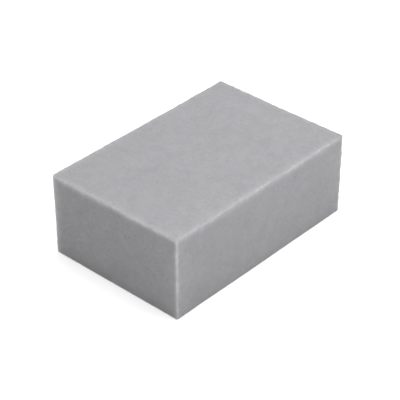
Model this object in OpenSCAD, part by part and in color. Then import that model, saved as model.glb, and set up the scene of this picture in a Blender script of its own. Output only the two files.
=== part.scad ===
// Grout sponge: one block of fine-celled hydrophilic foam, sawn square on all
// six sides. It lies flat on its large face and is used wet, by hand, to wipe
// fresh grout off tiles.
//
// Units are millimetres. The block's length runs along X, its width along Y and
// its height along Z. The origin is the middle of the large face it lies on.

/* [Block] */
// Length of the block, along X
block_length = 161; // [90:0.5:240]
// Width of the block, along Y: what one hand grips
block_width = 107; // [60:0.5:160]
// Height of the block, along Z, as it lies
block_height = 60; // [30:0.5:100]

/* [Sawn edges] */
// Radius that the foam's soft cells give each sawn edge and corner
edge_radius = 1; // [0.4:0.1:6]

/* [Hidden] */
$fn = 48;
half_x = block_length / 2;
half_y = block_width / 2;
half_z = block_height / 2;
// Where the centres of the edge and corner rounds lie
in_x = half_x - edge_radius;
in_y = half_y - edge_radius;
in_z = half_z - edge_radius;

// A box centred on the origin, given by its half sizes
module box_of(x, y, z) {
    cube([2 * x, 2 * y, 2 * z], center = true);
}

// The four parallel edge rounds along X, Y or Z
module edge_rounds(axis) {
    for (a = [-1, 1], b = [-1, 1]) {
        if (axis == "x")
            translate([0, a * in_y, b * in_z]) rotate([0, 90, 0])
                cylinder(h = 2 * in_x, r = edge_radius, center = true);
        if (axis == "y")
            translate([a * in_x, 0, b * in_z]) rotate([90, 0, 0])
                cylinder(h = 2 * in_y, r = edge_radius, center = true);
        if (axis == "z")
            translate([a * in_x, b * in_y, 0])
                cylinder(h = 2 * in_z, r = edge_radius, center = true);
    }
}

// The eight corner rounds
module corner_rounds() {
    for (a = [-1, 1], b = [-1, 1], c = [-1, 1])
        translate([a * in_x, b * in_y, c * in_z]) sphere(r = edge_radius);
}

// A block with true cylindrical edges and spherical corners, centred
module soft_edged_block() {
    union() {
        box_of(half_x, in_y, in_z);
        box_of(in_x, half_y, in_z);
        box_of(in_x, in_y, half_z);
        edge_rounds("x");
        edge_rounds("y");
        edge_rounds("z");
        corner_rounds();
    }
}

// The sponge, lying on its large face
module sponge_block() {
    color([0.69, 0.69, 0.70])
        translate([0, 0, half_z]) soft_edged_block();
}

sponge_block();
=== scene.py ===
"""Grout sponge: one sawn block of fine-celled grey foam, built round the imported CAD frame.

Everything is in metres in the row frame: X along the block's length, Y along its
width, Z up, origin in the middle of the face that it lies on.
"""
import math

import bpy
import numpy as np
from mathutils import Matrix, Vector
from mathutils.geometry import delaunay_2d_cdt


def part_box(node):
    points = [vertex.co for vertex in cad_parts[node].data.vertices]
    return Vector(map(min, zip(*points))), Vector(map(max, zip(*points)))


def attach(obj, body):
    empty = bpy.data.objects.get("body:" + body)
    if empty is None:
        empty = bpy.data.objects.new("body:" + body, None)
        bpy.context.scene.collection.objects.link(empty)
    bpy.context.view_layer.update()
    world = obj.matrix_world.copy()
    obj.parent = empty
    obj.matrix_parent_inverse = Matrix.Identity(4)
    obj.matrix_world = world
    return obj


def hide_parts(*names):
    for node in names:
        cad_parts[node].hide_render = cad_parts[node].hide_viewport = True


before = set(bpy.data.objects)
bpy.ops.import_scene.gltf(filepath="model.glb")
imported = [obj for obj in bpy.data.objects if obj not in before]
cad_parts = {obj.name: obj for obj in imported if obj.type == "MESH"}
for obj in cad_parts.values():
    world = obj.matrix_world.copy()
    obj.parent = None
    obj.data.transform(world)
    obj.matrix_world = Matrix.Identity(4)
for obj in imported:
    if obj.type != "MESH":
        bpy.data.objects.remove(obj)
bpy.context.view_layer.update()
MM = 0.001
LO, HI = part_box("sponge_block")
HALF = np.array([(HI[i] - LO[i]) / 2 / MM for i in range(3)])  # half sizes, mm
MID = np.array([(HI[i] + LO[i]) / 2 / MM for i in range(3)])
R_EDGE = 1.0  # mm, the CAD block's edge radius
SEED = 20260


# ---------------------------------------------------------------- camera
def make_camera():
    cam = bpy.data.cameras.new("camera")
    cam.sensor_fit = "HORIZONTAL"
    cam.sensor_width = 36.0
    cam.lens = 36.0 * 1485.8 / 400.0
    cam.clip_start, cam.clip_end = 0.01, 50.0
    ob = bpy.data.objects.new("camera", cam)
    bpy.context.scene.collection.objects.link(ob)
    az, el = math.radians(-47.917), math.radians(34.06)
    back = Vector((math.sin(az) * math.cos(el), -math.cos(az) * math.cos(el), math.sin(el)))
    ob.rotation_mode = "QUATERNION"
    ob.rotation_quaternion = (-back).to_track_quat("-Z", "Y")
    ob.location = Vector((-601.08, -542.18, 571.77)) * MM
    bpy.context.scene.camera = ob
    return ob


# ---------------------------------------------------------------- noise
def gradient_noise(points, seed):
    """Perlin's noise at points, about -1 to 1, with unit lattice."""
    rng = np.random.default_rng(seed)
    perm = rng.permutation(1024)
    vec = rng.normal(size=(1024, 3))
    vec /= np.linalg.norm(vec, axis=1, keepdims=True)
    cell = np.floor(points).astype(np.int64)
    f = points - cell
    w = f * f * f * (f * (f * 6 - 15) + 10)
    total = np.zeros(len(points))
    for dx in (0, 1):
        for dy in (0, 1):
            for dz in (0, 1):
                c = cell + (dx, dy, dz)
                h = perm[(perm[(perm[c[:, 0] & 1023] + c[:, 1]) & 1023] + c[:, 2]) & 1023]
                dot = ((f - (dx, dy, dz)) * vec[h]).sum(axis=1)
                wx = w[:, 0] if dx else 1 - w[:, 0]
                wy = w[:, 1] if dy else 1 - w[:, 1]
                wz = w[:, 2] if dz else 1 - w[:, 2]
                total += dot * wx * wy * wz
    return total * 1.6


def smooth(x, a, b):
    t = np.clip((x - a) / (b - a), 0, 1)
    return t * t * (3 - 2 * t)


# ---------------------------------------------------------------- the block's surface
# how far the saw and the give of the foam put each corner from where it would be, mm
OUT_OF_TRUE = {
    (-1, -1, -1): (0.05, -0.05, 0.0),
    (1, -1, -1): (-0.10, 0.15, 0.0),
    (-1, -1, 1): (-0.30, -0.05, -0.35),
    (1, -1, 1): (0.05, -0.15, -0.05),
    (-1, 1, 1): (0.0, 0.10, 0.15),
    (1, 1, 1): (0.05, 0.15, 0.20),
}
IN = HALF - R_EDGE  # where the edge rounds' centres lie
REACH = IN + math.pi * R_EDGE / 4  # each face's half size along its surface, to the middle of the round
STEP = 1.20  # spacing of the plain surface points, mm
PORES_PER_MM2 = 1 / 15.0


PORE_DEPTH = 0.5  # of a pore's radius


def on_block(face, u, v):
    """Positions and normals, in mm about the block's middle, of surface points of a face."""
    k, s = face
    i, j = (k + 1) % 3, (k + 2) % 3
    n = np.zeros((len(u), 3))
    c = np.zeros((len(u), 3))
    for axis, t in ((i, u), (j, v)):
        over = np.abs(t) - IN[axis]
        ang = np.clip(over, 0, None) / R_EDGE
        c[:, axis] = np.clip(t, -IN[axis], IN[axis])
        n[:, axis] = np.sign(t) * np.tan(ang)
    n[:, k] = s
    c[:, k] = s * IN[k]
    n /= np.linalg.norm(n, axis=1, keepdims=True)
    return c + R_EDGE * n, n


def spaced_line(rng, half, step):
    """Jittered positions between -half and half, without the ends."""
    count = max(2, int(round(2 * half / step)))
    at = np.linspace(-half, half, count + 1)[1:-1]
    return at + rng.uniform(-0.22, 0.22, len(at)) * (2 * half / count)


def edge_points(rng):
    """{(axis, sign on the next axis, sign on the one after): positions along the edge}."""
    return {
        (i, a, b): spaced_line(rng, REACH[i], 0.95)
        for i in range(3)
        for a in (-1, 1)
        for b in (-1, 1)
    }


def scatter_pores(rng, hx, hy):
    """Centres and radii of the larger open cells on a face, none touching another or the face's border."""
    want = int(4 * hx * hy * PORES_PER_MM2)
    size = 2.6
    nx, ny = int(2 * hx / size) + 1, int(2 * hy / size) + 1
    grid = {}
    kept = []
    tries = rng.uniform(-1, 1, (want * 6, 2)) * (hx, hy)
    radii = np.clip(np.exp(rng.normal(math.log(0.38), 0.28, want * 6)), 0.26, 0.80)
    for (x, y), r in zip(tries, radii):
        if len(kept) >= want:
            break
        if hx - abs(x) < r + 0.75 or hy - abs(y) < r + 0.75:
            continue
        gx, gy = int((x + hx) / size), int((y + hy) / size)
        near = [
            q
            for ax in (gx - 1, gx, gx + 1)
            for ay in (gy - 1, gy, gy + 1)
            for q in grid.get((ax, ay), ())
        ]
        if all(math.hypot(x - q[0], y - q[1]) > r + q[2] + 0.5 for q in near):
            kept.append((x, y, r))
            grid.setdefault((gx, gy), []).append((x, y, r))
    return np.array(kept)


def face_points(rng, hx, hy):
    """Interior points of a face in its own plane, as rows (u, v, pore index or -1, share of the pore's radius)."""
    pores = scatter_pores(rng, hx, hy)
    rows = []
    # close rows along the rounds
    for inset in (0.40, 0.82, 1.32):
        for half, fixed, swap in ((hx, hy, False), (hy, hx, True)):
            for side in (-1, 1):
                t = spaced_line(rng, half - inset, 0.98)
                t = t[np.abs(t) < half - inset - 0.25]
                w = side * (fixed - inset - rng.uniform(-0.09, 0.09, len(t)))
                rows.append(np.stack([w, t] if swap else [t, w], axis=1))
    for a in (-1, 1):  # the corners' own points
        for b in (-1, 1):
            rows += [np.array([[a * (hx - q), b * (hy - q)]]) for q in (0.42, 0.88, 1.36)]
    # the open surface
    inset = 1.95
    dy = STEP * math.sqrt(3) / 2
    ny = int(2 * (hy - inset) / dy)
    nx = int(2 * (hx - inset) / STEP)
    gy, gx = np.meshgrid(np.arange(ny + 1), np.arange(nx + 1), indexing="ij")
    x = (gx + 0.5 * (gy % 2)) / (nx + 0.5) * 2 * (hx - inset) - (hx - inset)
    y = gy / ny * 2 * (hy - inset) - (hy - inset)
    plain = np.stack([x.ravel(), y.ravel()], axis=1)
    plain += rng.uniform(-0.27, 0.27, plain.shape) * STEP
    rows.append(plain)
    flat = np.concatenate(rows)
    # nothing plain inside or close round a pore
    keep = np.ones(len(flat), bool)
    cell = 2.0
    table = {}
    for n, (px, py, r) in enumerate(pores):
        table.setdefault((int(px // cell), int(py // cell)), []).append(n)
    for n, (fx, fy) in enumerate(flat):
        cx, cy = int(fx // cell), int(fy // cell)
        for ax in (cx - 1, cx, cx + 1):
            for ay in (cy - 1, cy, cy + 1):
                for m in table.get((ax, ay), ()):
                    px, py, r = pores[m]
                    if (fx - px) ** 2 + (fy - py) ** 2 < (r * 1.12 + 0.30) ** 2:
                        keep[n] = False
    flat = flat[keep]
    out = [np.column_stack([flat, np.full(len(flat), -1.0), np.zeros(len(flat))])]
    for n, (px, py, r) in enumerate(pores):
        lobes = 7 if r > 0.55 else 6
        turn = rng.uniform(0, 2 * math.pi)
        squash_, lean = rng.uniform(0.78, 1.0), rng.uniform(0, math.pi)
        rings = ((1.0, lobes, 0.0), (0.62, lobes, 0.5), (0.0, 1, 0.0)) if r > 0.5 else ((1.0, 6, 0.0), (0.0, 1, 0.0))
        for share, count, shift in rings:
            ang = turn + (np.arange(count) + shift) * 2 * math.pi / count
            wob = 1 + rng.uniform(-0.10, 0.10, count)
            ex, ey = np.cos(ang) * r * share * wob, np.sin(ang) * r * share * wob * squash_
            qx = px + ex * math.cos(lean) - ey * math.sin(lean)
            qy = py + ex * math.sin(lean) + ey * math.cos(lean)
            out.append(np.column_stack([qx, qy, np.full(count, float(n)), np.full(count, share)]))
    return np.concatenate(out), pores


def build_block():
    """Vertices (mm, about the block's middle), normals, faces, and a value per vertex: how deep in a pore it is."""
    rng = np.random.default_rng(SEED)
    along = edge_points(rng)
    places, normals, dips, tris = [], [], [], []
    index, count = {}, 0
    corner_id, edge_id = {}, {}

    def add(p, n, d):
        nonlocal count
        places.append(p)
        normals.append(n)
        dips.append(d)
        first = count
        count += len(p)
        return np.arange(first, count)

    for a in (-1, 1):
        for b in (-1, 1):
            for c in (-1, 1):
                n = np.array([[a, b, c]]) / math.sqrt(3)
                corner_id[(a, b, c)] = int(
                    add(IN * np.array([[a, b, c]]) + R_EDGE * n, n, np.zeros((1, 2)))[0]
                )
    for (i, a, b), t in along.items():
        j, k = (i + 1) % 3, (i + 2) % 3
        # seen from the face on axis k, whose own axes are k+1 = i and k+2 = j
        p, n = on_block((k, b), t, np.full(len(t), a * REACH[j]))
        edge_id[(i, a, b)] = add(p, n, np.zeros((len(t), 2)))

    for k in range(3):
        for s in (-1, 1):
            i, j = (k + 1) % 3, (k + 2) % 3
            inner, pores = face_points(rng, REACH[i], REACH[j])
            border, ids = [], []

            def corner(a, b):
                key = [0, 0, 0]
                key[i], key[j], key[k] = a, b, s
                return corner_id[tuple(key)]

            for side in (-1, 1):  # along axis i, at v = side * REACH[j]
                t = along[(i, side, s)]
                border.append(np.column_stack([t, np.full(len(t), side * REACH[j])]))
                ids.append(edge_id[(i, side, s)])
            for side in (-1, 1):  # along axis j, at u = side * REACH[i]
                t = along[(j, s, side)]
                border.append(np.column_stack([np.full(len(t), side * REACH[i]), t]))
                ids.append(edge_id[(j, s, side)])
            for a in (-1, 1):
                for b in (-1, 1):
                    border.append(np.array([[a * REACH[i], b * REACH[j]]]))
                    ids.append(np.array([corner(a, b)]))
            p, n = on_block((k, s), inner[:, 0], inner[:, 1])
            depth = np.zeros((len(inner), 2))
            m = inner[:, 2] >= 0
            radius = np.zeros(len(inner))
            radius[m] = pores[inner[m, 2].astype(int), 2]
            depth[m, 0] = 1 - inner[m, 3]  # 0 at the rim, 1 at the bottom
            depth[m, 1] = radius[m]
            new = add(p, n, depth)
            flat = np.concatenate([*border, inner[:, :2]])
            owner = np.concatenate([*ids, new])
            got = delaunay_2d_cdt([Vector(q) for q in flat], [], [], 0, 1e-7)
            source = [o[0] for o in got[3]]
            if any(len(o) != 1 for o in got[3]) or len(source) != len(flat):
                print("points merged on face", k, s)
            tri = owner[np.array(source)[np.array(got[2])]]
            uv = flat[np.array(source)[np.array(got[2])]]
            turn = np.cross(uv[:, 1] - uv[:, 0], uv[:, 2] - uv[:, 0])
            flip = (turn < 0) != (s < 0)
            tri[flip] = tri[flip][:, [0, 2, 1]]
            tris.append(tri)
    return np.concatenate(places), np.concatenate(normals), np.concatenate(dips), np.concatenate(tris)


def painted_edge_glow(p, n):
    """Painted glow: how much paler the foam's colour is made by its sawn edges, a painted highlight for light that
    soaks in from two sides; 0 in the open.
    """

    def fall(d, width):
        return np.exp(-((np.clip(d, 0, None) / width) ** 2))

    dx, dy = HALF[0] - np.abs(p[:, 0]), HALF[1] - np.abs(p[:, 1])
    dz = HALF[2] - p[:, 2]
    upright = {axis: np.zeros(len(p)) for axis in "xy"}
    for (a, b), numbers in GLOW_UPRIGHT.items():
        here = (a * p[:, 0] > 0) & (b * p[:, 1] > 0)
        for axis, d, (near, width, wide) in (("x", dy, numbers[0]), ("y", dx, numbers[1])):
            upright[axis] += here * (near * fall(d, width) + wide * fall(d, 4.0) + GLOW_WIDE * fall(d, 14.0))
    right = (p[:, 0] > 0) * fall(dx, 20.0)
    top = np.hypot(np.where(p[:, 0] > 0, *GLOW_TOP[0]) * fall(dx, 3.1), GLOW_TOP[1] * (1 - 0.9 * right) * fall(dy, 3.2))
    # the painted glow is broadest where the end face meets the +Y side, and faintest at the +X end of the long faces
    across = 0.5 - p[:, 1] / HALF[1] / 2
    ends = np.hypot(GLOW_SIDE[0] * fall(dz, 3.05 - across), upright["x"])
    fade = 1 - 0.06 * smooth(p[:, 0], -40.0, 20.0) - 0.30 * right
    sides = np.hypot(GLOW_SIDE[1] * fade * fall(dz, 3.2), upright["y"])
    w = n**2
    return w[:, 0] * ends + w[:, 1] * sides + w[:, 2] * np.where(p[:, 2] > 0, top, 0.0)


# painted highlight: how much the colour is lightened along the sawn edges, standing in for light that soaks through
# them from two sides
GLOW_TOP = ((0.12, 0.09), 0.14)  # on the top face, along its short edges at +X and -X, and along its long ones
GLOW_WIDE = 0.05  # what is left of it a centimetre from an upright edge
GLOW_SIDE = (0.80, 0.42)  # below the top edges, on the end faces and on the long ones
# by each upright edge, on the end face and on the long face: close to the edge, how close in mm, and further in
GLOW_UPRIGHT = {
    (-1, -1): ((0.60, 1.35, 0.06), (0.57, 1.25, 0.05)),
    (-1, 1): ((0.55, 1.6, 0.34), (0.50, 1.4, 0.12)),
    (1, -1): ((0.50, 1.4, 0.10), (0.52, 1.4, 0.07)),
    (1, 1): ((0.50, 1.4, 0.12), (0.50, 1.4, 0.12)),
}


def sponge_mesh():
    p, n, dip, tri = build_block()
    rng = np.random.default_rng(SEED + 1)
    edge = painted_edge_glow(p, n)
    over = np.sort(HALF - np.abs(p), axis=1)  # distance from each pair of faces, nearest first
    # the saw's own soft waves, the foam's uneven skin and its single cells
    h = 0.048 * gradient_noise(p / 3.1, 11) + 0.028 * gradient_noise(p / 1.9, 12)
    h += 0.07 * gradient_noise(p / 8.0, 13)
    h += rng.normal(0, 0.012, len(p))
    # the crest of each edge is frayed by the cells that the saw opened
    nick = gradient_noise(p / 2.3, 14)
    crest = 1 - smooth(over[:, 1], 0.0, 2.2)
    h += 0.10 - crest * (0.03 + 0.10 * smooth(nick, 0.15, 0.9) + 0.05 * np.abs(gradient_noise(p / 1.1, 15)))
    pore = dip[:, 0] * dip[:, 1]
    h -= PORE_DEPTH * np.power(dip[:, 0], 0.8) * dip[:, 1]
    h += np.where((dip[:, 1] > 0) & (dip[:, 0] < 0.01), 0.02, 0)
    q = p + n * h[:, None]
    # the whole block is a little out of true, as soft foam is off the saw
    warp = np.stack([gradient_noise(p / 64.0 + 7.3 * a, 31 + a) for a in range(3)], axis=1)
    lift = smooth(p[:, 2] + HALF[2], 0.0, 14.0)
    warp[:, 2] *= lift
    q += 0.28 * warp
    q += 0.20 * np.stack([gradient_noise(p / 19.0 + 3.1 * a, 41 + a) for a in range(3)], axis=1) * lift[:, None] * 0.6
    # and its edges are ragged
    near = (1 - smooth(over[:, 1], 0.5, 5.0)) * smooth(p[:, 2] + HALF[2], 0.0, 3.0)
    q += 0.26 * near[:, None] * np.stack([gradient_noise(p / 4.4 + 5.7 * a, 51 + a) for a in range(3)], axis=1)
    for corner, shift in OUT_OF_TRUE.items():
        q += np.prod((1 + np.array(corner) * p / HALF) / 2, axis=1)[:, None] * shift
    q += MID
    q[:, 2] = np.maximum(q[:, 2], 0.0)
    me = bpy.data.meshes.new("sponge_block_foam")
    me.vertices.add(len(q))
    me.vertices.foreach_set("co", (q * MM).astype(np.float32).ravel())
    me.loops.add(len(tri) * 3)
    me.loops.foreach_set("vertex_index", tri.astype(np.int32).ravel())
    me.polygons.add(len(tri))
    me.polygons.foreach_set("loop_start", (np.arange(len(tri)) * 3).astype(np.int32))
    me.polygons.foreach_set("use_smooth", np.ones(len(tri), bool))
    # painted shade near the floor: the colour is darkened towards the bottom, more on the end faces
    z = p[:, 2] + HALF[2]
    foot_shade = (0.11 + 0.045 * n[:, 0] ** 2) * np.exp(-z / 22.0) + (0.06 + 0.035 * n[:, 0] ** 2) * np.exp(-z / 5.0)
    # painted marks for the material: the glow by the sawn edges, the shade towards the bottom, and how deep each vertex
    # is in a pore, which is darkened as painted shade
    for name, value in (
        ("edge", edge),
        ("foot_shade", foot_shade),
        ("pore", np.power(dip[:, 0], 0.7) * smooth(dip[:, 1], 0.0, 0.3)),
    ):
        at = me.attributes.new(name, "FLOAT", "POINT")
        at.data.foreach_set("value", value.astype(np.float32))
    me.update(calc_edges=True)
    me.validate()
    print("sponge: vertices", len(q), "triangles", len(tri))
    return me


# ---------------------------------------------------------------- material
class Tree:
    """Short names for building a node tree."""

    def __init__(self, material):
        material.use_nodes = True
        self.t = material.node_tree
        self.t.nodes.clear()

    @classmethod
    def on(cls, material):
        """The same for a tree that is already there."""
        self = cls.__new__(cls)
        self.t = material.node_tree
        return self

    def node(self, kind, **settings):
        n = self.t.nodes.new(kind)
        for k, v in settings.items():
            setattr(n, k, v)
        return n

    def put(self, socket, value):
        if isinstance(value, bpy.types.NodeSocket):
            self.t.links.new(value, socket)
        else:
            socket.default_value = value

    def math(self, op, a, b=0.0, c=None, clamp=False):
        n = self.node("ShaderNodeMath", operation=op, use_clamp=clamp)
        self.put(n.inputs[0], a)
        self.put(n.inputs[1], b)
        if c is not None:
            self.put(n.inputs[2], c)
        return n.outputs[0]

    def step(self, x, a, b, lo=0.0, hi=1.0):
        n = self.node("ShaderNodeMapRange", interpolation_type="SMOOTHSTEP")
        for name, v in (("Value", x), ("From Min", a), ("From Max", b), ("To Min", lo), ("To Max", hi)):
            self.put(n.inputs[name], v)
        return n.outputs["Result"]

    def noise(self, at, scale, detail=2.0, rough=0.5):
        n = self.node("ShaderNodeTexNoise")
        self.put(n.inputs["Vector"], at)
        n.inputs["Scale"].default_value = scale
        n.inputs["Detail"].default_value = detail
        n.inputs["Roughness"].default_value = rough
        return n.outputs["Fac"]

    def cells(self, at, scale, feature="F1"):
        n = self.node("ShaderNodeTexVoronoi", feature=feature)
        n.inputs["Randomness"].default_value = 0.85
        self.put(n.inputs["Vector"], at)
        n.inputs["Scale"].default_value = scale
        return n

    def open_cells(self, at, scale, spread, least):
        """Rounded hollows packed edge to edge, scale to the millimetre, each of its own depth from least to least + spread."""
        wall = self.cells(at, scale, "DISTANCE_TO_EDGE").outputs["Distance"]
        cell = self.cells(at, scale)
        rand = self.node("ShaderNodeSeparateColor")
        self.put(rand.inputs[0], cell.outputs["Color"])
        pit = self.math("MULTIPLY", self.step(wall, 0.03, 0.24), self.step(cell.outputs["Distance"], 0.82, 0.26))
        return self.math("MULTIPLY", pit, self.math("MULTIPLY_ADD", rand.outputs[0], spread, least))


def foam_material():
    mat = bpy.data.materials.new("foam")
    t = Tree(mat)
    out = t.node("ShaderNodeOutputMaterial")
    bsdf = t.node("ShaderNodeBsdfPrincipled")
    t.t.links.new(bsdf.outputs[0], out.inputs["Surface"])
    place = t.node("ShaderNodeTexCoord").outputs["Object"]
    mm = t.node("ShaderNodeVectorMath", operation="SCALE")
    t.put(mm.inputs[0], place)
    mm.inputs["Scale"].default_value = 1000.0
    mm = mm.outputs[0]
    # bend the lattice a little so that cells are uneven in size
    bend = t.node("ShaderNodeTexNoise")
    t.put(bend.inputs["Vector"], mm)
    bend.inputs["Scale"].default_value = 0.8
    bend.inputs["Detail"].default_value = 1.0
    shift = t.node("ShaderNodeVectorMath", operation="MULTIPLY_ADD")
    t.put(shift.inputs[0], bend.outputs["Color"])
    shift.inputs[1].default_value = (0.35, 0.35, 0.35)
    t.put(shift.inputs[2], mm)
    at = shift.outputs[0]
    # the foam's cells: 1 in the middle of an open one, 0 on the struts round it
    hollow = t.math("MAXIMUM", t.open_cells(at, 1.25, 0.75, 0.35), t.open_cells(at, 2.1, 0.5, 0.15))
    # the still finer fuzz of cut struts, and slow changes of tone
    grain = t.noise(mm, 3.0, 2.0, 0.6)
    patch = t.noise(mm, 0.055, 2.0, 0.5)
    patch2 = t.noise(mm, 0.28, 2.0, 0.55)
    patch3 = t.noise(mm, 0.12, 2.0, 0.6)
    # colour
    # painted shade: the hollows of the open cells are darkened, standing in for the shade inside them
    tone = t.math("MULTIPLY_ADD", hollow, -HOLLOW_SHADE_PAINT, 1.0 + 0.45 * HOLLOW_SHADE_PAINT)
    tone = t.math("MULTIPLY", tone, t.math("MULTIPLY_ADD", grain, 0.12, 0.94))
    tone = t.math("MULTIPLY", tone, t.math("MULTIPLY_ADD", patch, 0.09, 0.955))
    tone = t.math("MULTIPLY", tone, t.math("MULTIPLY_ADD", patch2, 0.15, 0.925))
    tone = t.math("MULTIPLY", tone, t.math("MULTIPLY_ADD", patch3, 0.18, 0.91))
    # painted shade in the larger pores: the colour is darker down in them
    pore = t.node("ShaderNodeAttribute", attribute_name="pore").outputs["Fac"]
    tone = t.math("MULTIPLY", tone, t.math("MULTIPLY_ADD", pore, -0.03, 1.0))
    # painted highlight by the sawn edges: the colour is lightened where light would soak through from two sides
    edge = t.node("ShaderNodeAttribute", attribute_name="edge").outputs["Fac"]
    edge_light_paint = t.math("MULTIPLY", edge, t.math("MULTIPLY_ADD", patch2, 0.8, 0.6))
    tone = t.math("MULTIPLY", tone, t.math("ADD", edge_light_paint, 1.0))
    # painted shade: darker towards the bottom of the block, more on the end faces, standing in for the shade near the
    # floor
    foot_shade = t.node("ShaderNodeAttribute", attribute_name="foot_shade").outputs["Fac"]
    tone = t.math("MULTIPLY", tone, t.math("SUBTRACT", 1.0, foot_shade))
    # its grey drifts a little between neutral and bluish
    drift = t.node("ShaderNodeMix", data_type="VECTOR")
    t.put(drift.inputs["Factor"], t.step(t.noise(mm, 0.075, 2.0, 0.6), 0.3, 0.7))
    drift.inputs["A"].default_value = [c * m for c, m in zip(FOAM, (1.004, 1.0, 0.982))]
    drift.inputs["B"].default_value = [c * m for c, m in zip(FOAM, (0.996, 1.0, 1.018))]
    tint = t.node("ShaderNodeVectorMath", operation="SCALE")
    t.put(tint.inputs[0], drift.outputs["Result"])
    t.put(tint.inputs["Scale"], tone)
    t.put(bsdf.inputs["Base Color"], tint.outputs[0])
    # relief
    height = t.math("MULTIPLY_ADD", hollow, -1.0, t.math("MULTIPLY", grain, 0.30))
    bump = t.node("ShaderNodeBump")
    bump.inputs["Strength"].default_value = 1.0
    bump.inputs["Distance"].default_value = 0.17 * MM
    t.put(bump.inputs["Height"], height)
    t.put(bsdf.inputs["Normal"], bump.outputs[0])
    t.put(bsdf.inputs["Roughness"], t.math("MULTIPLY_ADD", hollow, 0.12, 0.86))
    bsdf.inputs["Specular IOR Level"].default_value = 0.15
    bsdf.inputs["Sheen Weight"].default_value = 0.10
    bsdf.inputs["Sheen Roughness"].default_value = 0.5
    return mat


# how much the hollows' colour is darkened as painted shade
HOLLOW_SHADE_PAINT = 0.17
FOAM = (0.371, 0.370, 0.3835)


# ---------------------------------------------------------------- the scene round it
def area_light(name, at, aim, size, power, shape="RECTANGLE"):
    data = bpy.data.lights.new(name, "AREA")
    data.shape = shape
    data.size = size[0]
    if shape == "RECTANGLE":
        data.size_y = size[1]
    data.energy = power
    ob = bpy.data.objects.new(name, data)
    ob.location = at
    ob.rotation_mode = "QUATERNION"
    ob.rotation_quaternion = (Vector(aim) - Vector(at)).to_track_quat("-Z", "Y")
    bpy.context.scene.collection.objects.link(ob)
    return ob


def plain_material(name, colour, roughness=0.9):
    mat = bpy.data.materials.new(name)
    mat.use_nodes = True
    b = mat.node_tree.nodes["Principled BSDF"]
    b.inputs["Base Color"].default_value = (*colour, 1)
    b.inputs["Roughness"].default_value = roughness
    b.inputs["Specular IOR Level"].default_value = 0.1
    return mat


def make_stage():
    me = bpy.data.meshes.new("floor")
    s = 12.0
    me.from_pydata([(-s, -s, 0), (s, -s, 0), (s, s, 0), (-s, s, 0)], [], [(0, 1, 2, 3)])
    floor = bpy.data.objects.new("floor", me)
    floor.location.z = -0.00002
    bpy.context.scene.collection.objects.link(floor)
    mat = plain_material("floor_white", (0.50, 0.50, 0.50))
    # a lit table: it stays pale where the block shades it, and away from the lamps
    t = Tree.on(mat)
    far = t.node("ShaderNodeVectorMath", operation="LENGTH")
    t.put(far.inputs[0], t.node("ShaderNodeTexCoord").outputs["Object"])
    fall = t.math("MULTIPLY", far.outputs["Value"], 1 / 1.5)
    fall = t.math("MULTIPLY_ADD", fall, fall, 1.0)
    fall = t.math("DIVIDE", 1.0, t.math("MULTIPLY", fall, fall))  # how the lamps' light drops off
    b = mat.node_tree.nodes["Principled BSDF"]
    b.inputs["Emission Color"].default_value = (1, 1, 1, 1)
    t.put(b.inputs["Emission Strength"], t.math("MULTIPLY_ADD", fall, -0.42, 0.49 + 0.42))
    me.materials.append(mat)
    # pale walls round the table: white near the horizon, dark above
    world = bpy.data.worlds.new("studio")
    bpy.context.scene.world = world
    world.use_nodes = True
    nt = world.node_tree
    bg = nt.nodes["Background"]
    bg.inputs["Color"].default_value = (1, 1, 1, 1)
    where = nt.nodes.new("ShaderNodeTexCoord")
    xyz = nt.nodes.new("ShaderNodeSeparateXYZ")
    fade = nt.nodes.new("ShaderNodeMapRange")
    fade.interpolation_type = "SMOOTHSTEP"
    fade.inputs["From Min"].default_value = 0.10
    fade.inputs["From Max"].default_value = 0.18
    fade.inputs["To Min"].default_value = 1.05
    fade.inputs["To Max"].default_value = 0.0
    nt.links.new(where.outputs["Generated"], xyz.inputs[0])
    nt.links.new(xyz.outputs["Z"], fade.inputs["Value"])
    nt.links.new(fade.outputs["Result"], bg.inputs["Strength"])
    # one wide round softbox overhead and a smaller one in front and to the right
    area_light("overhead", (0, 0, 1.33), (0, 0, 0), (1.5, 1.5), 22.3, "DISK")
    aim = Vector((0, 0, 0.03))
    az, el = math.radians(30), math.radians(35)
    way = Vector((math.sin(az) * math.cos(el), -math.cos(az) * math.cos(el), math.sin(el)))
    area_light("front", aim + way, aim, (0.6, 0.6), 3.3)
    view = bpy.context.scene.view_settings
    view.view_transform = "Standard"
    # the picture's whites are set where the floor's faint shadow ends
    view.use_curve_mapping = True
    curve = view.curve_mapping.curves[3]
    curve.points[0].location = (0.0, 0.0)
    curve.points[1].location = (0.86, 1.0)
    bend = curve.points.new(0.54, 0.54)
    for p in curve.points:
        p.handle_type = "VECTOR"
    view.curve_mapping.update()


make_camera()
make_stage()
sponge = bpy.data.objects.new("sponge_block_foam", sponge_mesh())
bpy.context.scene.collection.objects.link(sponge)
sponge.data.materials.append(foam_material())
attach(sponge, "root")
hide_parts("sponge_block")
